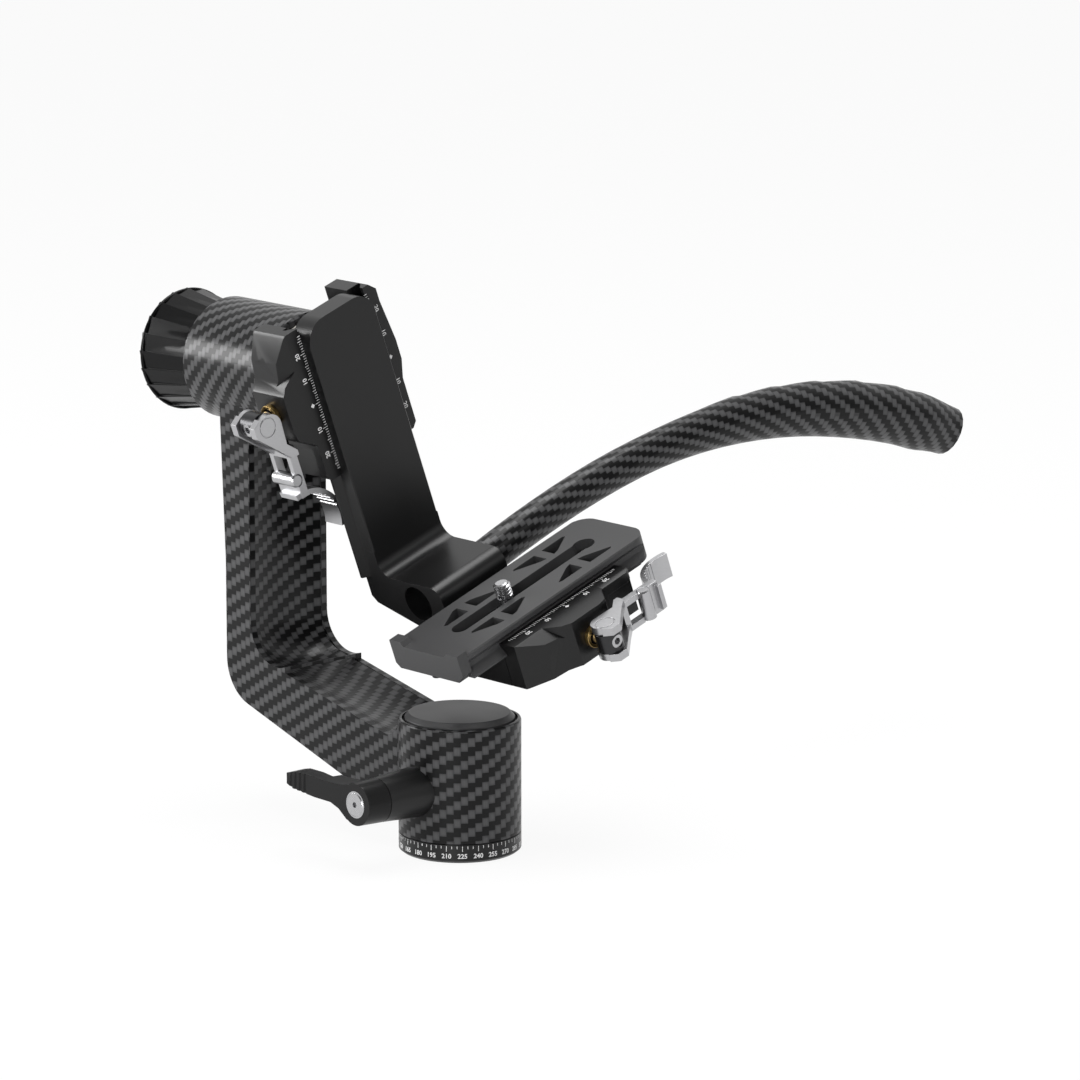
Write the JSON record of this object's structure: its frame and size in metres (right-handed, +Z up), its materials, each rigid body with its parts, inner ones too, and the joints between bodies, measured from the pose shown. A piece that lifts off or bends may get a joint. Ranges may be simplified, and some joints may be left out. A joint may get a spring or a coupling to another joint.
{
  "type": "gimbal tripod head",
  "caption": "Side-mount gimbal head for a long lens: panning base, cranked arm, tilting dovetail clamp, L-shaped cradle, quick-release lens plate and curved steering handle.",
  "frame": {"origin": "on the pan axis, at the mouth of the tripod thread in the bottom face of the base", "axes": "+Z up along the pan axis; X along the tilt axis, with the side arm and the tilt knob towards -X; +Y the way the lens looks when the head is level"},
  "size_m": [0.2029, 0.3458, 0.1992],
  "materials": {
    "carbon": "carbon twill under a clear gloss coat",
    "anodised": "black satin anodised",
    "anodised_grey": "dark grey satin anodised",
    "black_plastic": "black moulded plastic",
    "knob_black": "glossy black",
    "silver": "bright satin, lightly brushed",
    "steel": "plain steel",
    "black_steel": "blackened steel",
    "brass": "plain brass",
    "white_plastic": "smooth low-friction plastic"
  },
  "bodies": {
    "base": {"scale_ring": "anodised", "spindle": "steel", "tripod_insert": "steel", "base_screws": "steel", "spindle_nut": "steel"},
    "arm": {"arm": "carbon", "pan_bearings": "steel", "pan_cap": "anodised_grey", "cap_ring": "black_plastic", "pan_lock_boss": "anodised", "tilt_bearings": "steel"},
    "pan_brake": {"pan_brake_shoe": "brass"},
    "pan_lock": {"pan_lock_lever": "black_plastic", "pan_lock_screw": "steel", "pan_lock_stud": "steel"},
    "knob": {"tilt_knob": "knob_black", "knob_insert": "brass", "knob_cap": "black_plastic", "knob_screw": "steel"},
    "tilt_head": {"tilt_shaft": "steel", "friction_washer": "white_plastic", "tilt_clamp_body": "anodised", "tilt_clamp_screws": "black_steel", "tilt_guide_pins": "steel", "tilt_jaw_springs": "steel", "tilt_clamp_stud": "steel", "tilt_cam_barrel": "black_steel"},
    "tilt_jaw": {"tilt_clamp_jaw": "anodised", "tilt_saddle": "brass"},
    "tilt_flip_lever": {"tilt_lever": "silver"},
    "tilt_latch_button": {"tilt_latch": "silver"},
    "cradle_arm": {"cradle": "anodised", "handle_set_screw": "steel", "plate_clamp_body": "anodised", "plate_clamp_screws": "black_steel", "plate_guide_pins": "steel", "plate_jaw_springs": "steel", "plate_clamp_stud": "steel", "plate_cam_barrel": "black_steel", "handle": "carbon", "handle_ferrule": "steel"},
    "plate_jaw": {"plate_clamp_jaw": "anodised", "plate_saddle": "brass"},
    "plate_flip_lever": {"plate_lever": "silver"},
    "plate_latch_button": {"plate_latch": "silver"},
    "plate": {"lens_plate": "anodised_grey", "plate_stop_screw": "black_steel"},
    "slider": {"screw_slider": "steel"},
    "screw": {"camera_screw": "steel"}
  },
  "joints": [
    {"name": "pan", "type": "hinge", "parent": "base", "child": "arm", "pos_m": [0, 0, 0.025], "axis": [0, 0, 1], "continuous": true},
    {"name": "pan_lock_turn", "type": "hinge", "parent": "arm", "child": "pan_lock", "pos_m": [0, -0.045, 0.0248], "axis": [0, -1, 0], "range_deg": [-70, 70]},
    {"name": "pan_brake_slide", "type": "slide", "parent": "arm", "child": "pan_brake", "axis": [0, 1, 0], "range_m": [-0.00025, 0.00025]},
    {"name": "tilt_knob_turn", "type": "hinge", "parent": "arm", "child": "knob", "pos_m": [-0.14, 0, 0.1643], "axis": [-1, 0, 0], "range_deg": [-180, 180]},
    {"name": "tilt", "type": "hinge", "parent": "arm", "child": "tilt_head", "pos_m": [-0.1, 0, 0.1643], "axis": [1, 0, 0], "range_deg": [-45, 120]},
    {"name": "tilt_jaw_slide", "type": "slide", "parent": "tilt_head", "child": "tilt_jaw", "axis": [0, -0.9379, -0.3469], "range_m": [0, 0.0018]},
    {"name": "tilt_lever_flip", "type": "hinge", "parent": "tilt_head", "child": "tilt_flip_lever", "pos_m": [-0.0684, -0.03775, 0.1514], "axis": [-1, 0, 0], "range_deg": [0, 95]},
    {"name": "tilt_latch_press", "type": "slide", "parent": "tilt_flip_lever", "child": "tilt_latch_button", "axis": [-1, 0, 0], "range_m": [0, 0.002], "stiffness_N_per_m": 200, "springref_m": -0.002},
    {"name": "cradle_height", "type": "slide", "parent": "tilt_head", "child": "cradle_arm", "axis": [0, -0.3469, 0.9379], "range_m": [-0.002, 0.03]},
    {"name": "plate_jaw_slide", "type": "slide", "parent": "cradle_arm", "child": "plate_jaw", "axis": [1, 0, 0], "range_m": [0, 0.0018]},
    {"name": "plate_lever_flip", "type": "hinge", "parent": "cradle_arm", "child": "plate_flip_lever", "pos_m": [0.04188, 0.03487, 0.07953], "axis": [0, 0.3469, -0.9379], "range_deg": [0, 95]},
    {"name": "plate_latch_press", "type": "slide", "parent": "plate_flip_lever", "child": "plate_latch_button", "axis": [0, 0.3469, -0.9379], "range_m": [0, 0.002], "stiffness_N_per_m": 200, "springref_m": -0.002},
    {"name": "plate_slide", "type": "slide", "parent": "cradle_arm", "child": "plate", "axis": [0, 0.9379, 0.3469], "range_m": [-0.018, 0.014]},
    {"name": "screw_position", "type": "slide", "parent": "plate", "child": "slider", "axis": [0, 0.9379, 0.3469], "range_m": [-0.018, 0.03]},
    {"name": "camera_screw_turn", "type": "hinge", "parent": "slider", "child": "screw", "pos_m": [0, 0.02216, 0.08997], "axis": [0, -0.3469, 0.9379], "continuous": true}
  ],
  "couplings": [
    {"joint": "pan_brake_slide", "follows": "pan_lock_turn", "m_per_rad": 0.0002},
    {"joint": "tilt_jaw_slide", "follows": "tilt_lever_flip", "m_per_rad": 0.001},
    {"joint": "plate_jaw_slide", "follows": "plate_lever_flip", "m_per_rad": 0.001}
  ]
}
